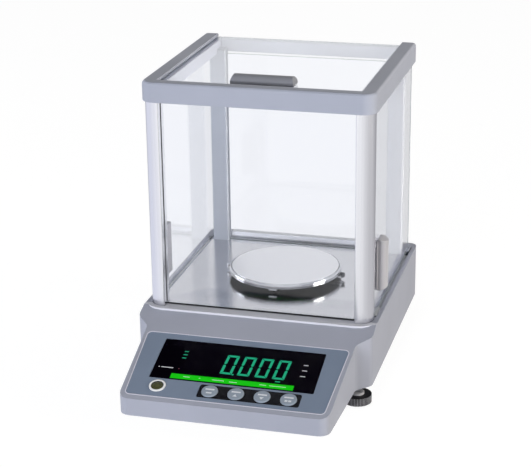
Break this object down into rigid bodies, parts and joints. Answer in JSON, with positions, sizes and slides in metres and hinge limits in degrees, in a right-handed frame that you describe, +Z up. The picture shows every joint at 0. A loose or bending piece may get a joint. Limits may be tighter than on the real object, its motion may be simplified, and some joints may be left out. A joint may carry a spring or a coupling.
{
  "type": "laboratory balance",
  "caption": "Precision laboratory balance: sloping display console, round steel pan and a square glass draft shield with sliding top and side doors.",
  "frame": {"origin": "on the bench under the middle of the balance's bounding box", "axes": "+X to the operator's right, +Y from the operator towards the back, +Z up"},
  "size_m": [0.2322, 0.35, 0.2944],
  "materials": {
    "housing_grey": "fine moulded texture, cool grey",
    "frame_grey": "satin moulded, cool grey",
    "handle_grey": "satin moulded, darker grey",
    "slate_panel": "matte slate blue overlay",
    "window_black": "glossy black window",
    "black_plastic": "black moulded plastic",
    "key_grey": "satin grey keys",
    "white_plastic": "white plastic",
    "vial_liquid": "olive liquid under a clear disc",
    "shield_glass": "clear float glass with polished edges",
    "pillar_aluminium": "satin anodised extrusion",
    "stainless_floor": "bright stainless sheet",
    "pan_steel": "polished stainless steel",
    "zinc_steel": "zinc plated steel",
    "foot_rubber": "black rubber",
    "board_green": "green circuit board"
  },
  "bodies": {
    "housing": {"upper_housing": "housing_grey", "base_plate": "zinc_steel", "base_screw_1": "zinc_steel", "base_screw_2": "zinc_steel", "base_screw_3": "zinc_steel", "base_screw_4": "zinc_steel", "rear_left_foot": "foot_rubber", "rear_right_foot": "foot_rubber", "control_panel": "slate_panel", "display_window": "window_black", "display_module": "black_plastic", "keypad_strip": "black_plastic", "display_board": "board_green", "key_switch_1": "zinc_steel", "key_switch_2": "zinc_steel", "key_switch_3": "zinc_steel", "key_switch_4": "zinc_steel", "level_case": "white_plastic", "level_vial": "vial_liquid", "chamber_floor": "stainless_floor", "rear_sill": "frame_grey", "pan_post": "stainless_floor", "force_cell_bracket": "zinc_steel", "force_cell": "pillar_aluminium", "main_board": "board_green", "power_inlet": "black_plastic", "serial_connector": "zinc_steel", "front_right_pillar": "pillar_aluminium", "front_left_pillar": "pillar_aluminium", "rear_right_pillar": "pillar_aluminium", "rear_left_pillar": "pillar_aluminium", "top_frame": "frame_grey", "rear_rail": "frame_grey", "front_glass": "shield_glass", "rear_glass": "shield_glass", "right_door_stop": "black_plastic", "left_door_stop": "black_plastic"},
    "top_door": {"top_door": "shield_glass", "top_door_handle": "handle_grey"},
    "right_door": {"right_door": "shield_glass", "right_door_handle": "handle_grey", "right_door_inner_grip": "handle_grey", "right_door_shoe": "black_plastic"},
    "left_door": {"left_door": "shield_glass", "left_door_handle": "handle_grey", "left_door_inner_grip": "handle_grey", "left_door_shoe": "black_plastic"},
    "pan": {"weighing_pan": "pan_steel", "pan_carrier": "stainless_floor"},
    "key_1": {"key_1": "key_grey"},
    "key_2": {"key_2": "key_grey"},
    "key_3": {"key_3": "key_grey"},
    "key_4": {"key_4": "key_grey"},
    "front_left_foot": {"front_left_foot_pad": "foot_rubber"},
    "front_left_foot_screw": {"front_left_foot_knob": "black_plastic", "front_left_foot_stud": "zinc_steel"},
    "front_right_foot": {"front_right_foot_pad": "foot_rubber"},
    "front_right_foot_screw": {"front_right_foot_knob": "black_plastic", "front_right_foot_stud": "zinc_steel"}
  },
  "joints": [
    {"name": "top_door_slide", "type": "slide", "parent": "housing", "child": "top_door", "axis": [0, 1, 0], "range_m": [0, 0.15]},
    {"name": "right_door_slide", "type": "slide", "parent": "housing", "child": "right_door", "axis": [0, 1, 0], "range_m": [0, 0.15]},
    {"name": "left_door_slide", "type": "slide", "parent": "housing", "child": "left_door", "axis": [0, 1, 0], "range_m": [0, 0.15]},
    {"name": "pan_lift", "type": "slide", "parent": "housing", "child": "pan", "axis": [0, 0, 1], "range_m": [0, 0.03]},
    {"name": "key_1_press", "type": "slide", "parent": "housing", "child": "key_1", "axis": [0, 0.2844, -0.9587], "range_m": [0, 0.0008], "stiffness_N_per_m": 400},
    {"name": "key_2_press", "type": "slide", "parent": "housing", "child": "key_2", "axis": [0, 0.2844, -0.9587], "range_m": [0, 0.0008], "stiffness_N_per_m": 400},
    {"name": "key_3_press", "type": "slide", "parent": "housing", "child": "key_3", "axis": [0, 0.2844, -0.9587], "range_m": [0, 0.0008], "stiffness_N_per_m": 400},
    {"name": "key_4_press", "type": "slide", "parent": "housing", "child": "key_4", "axis": [0, 0.2844, -0.9587], "range_m": [0, 0.0008], "stiffness_N_per_m": 400},
    {"name": "front_left_foot_travel", "type": "slide", "parent": "housing", "child": "front_left_foot", "axis": [0, 0, -1], "range_m": [0, 0.005]},
    {"name": "front_left_foot_turn", "type": "hinge", "parent": "front_left_foot", "child": "front_left_foot_screw", "pos_m": [-0.0995, -0.067, 0.006], "axis": [0, 0, -1], "range_deg": [0, 1440]},
    {"name": "front_right_foot_travel", "type": "slide", "parent": "housing", "child": "front_right_foot", "axis": [0, 0, -1], "range_m": [0, 0.005]},
    {"name": "front_right_foot_turn", "type": "hinge", "parent": "front_right_foot", "child": "front_right_foot_screw", "pos_m": [0.0995, -0.067, 0.006], "axis": [0, 0, -1], "range_deg": [0, 1440]}
  ],
  "couplings": [
    {"joint": "front_left_foot_travel", "follows": "front_left_foot_turn", "m_per_rad": 0.00019894},
    {"joint": "front_right_foot_travel", "follows": "front_right_foot_turn", "m_per_rad": 0.00019894}
  ]
}
